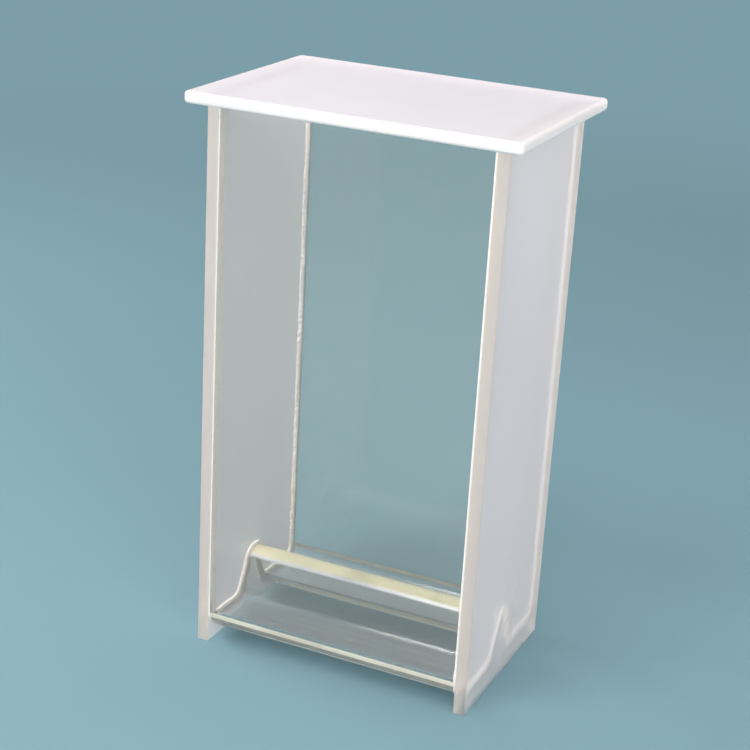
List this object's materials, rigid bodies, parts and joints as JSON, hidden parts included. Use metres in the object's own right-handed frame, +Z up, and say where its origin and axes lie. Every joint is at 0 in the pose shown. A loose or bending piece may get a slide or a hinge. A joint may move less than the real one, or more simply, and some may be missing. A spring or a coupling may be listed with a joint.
{
  "type": "twin-trough chromatography developing tank",
  "caption": "Tall rectangular glass tank for developing chromatography plates upright: clear walls, base bent into two troughs, ground-glass ends and a loose flat lid.",
  "frame": {"origin": "on the floor, under the middle of the tank", "axes": "+X to the tank's right along its width, +Y to the back, +Z up"},
  "size_m": [0.1332, 0.0932, 0.2296],
  "materials": {
    "clear_glass": "fire-polished clear sheet glass, faintly yellow-green on edge",
    "ground_glass": "ground on both faces, translucent, with pale cream cut edges",
    "bond": "cream, rough, slightly grainy bead",
    "milky_glass": "fine-ground milky white glass with bright softened edges"
  },
  "bodies": {
    "tank": {"trough_body": "clear_glass", "left_end_plate": "ground_glass", "right_end_plate": "ground_glass", "left_bond_seam": "bond", "right_bond_seam": "bond"},
    "lid": {"lid": "milky_glass"}
  },
  "joints": [
    {"name": "lid_lift", "type": "slide", "parent": "tank", "child": "lid", "axis": [0, 0, 1], "range_m": [0, 0.1]}
  ]
}
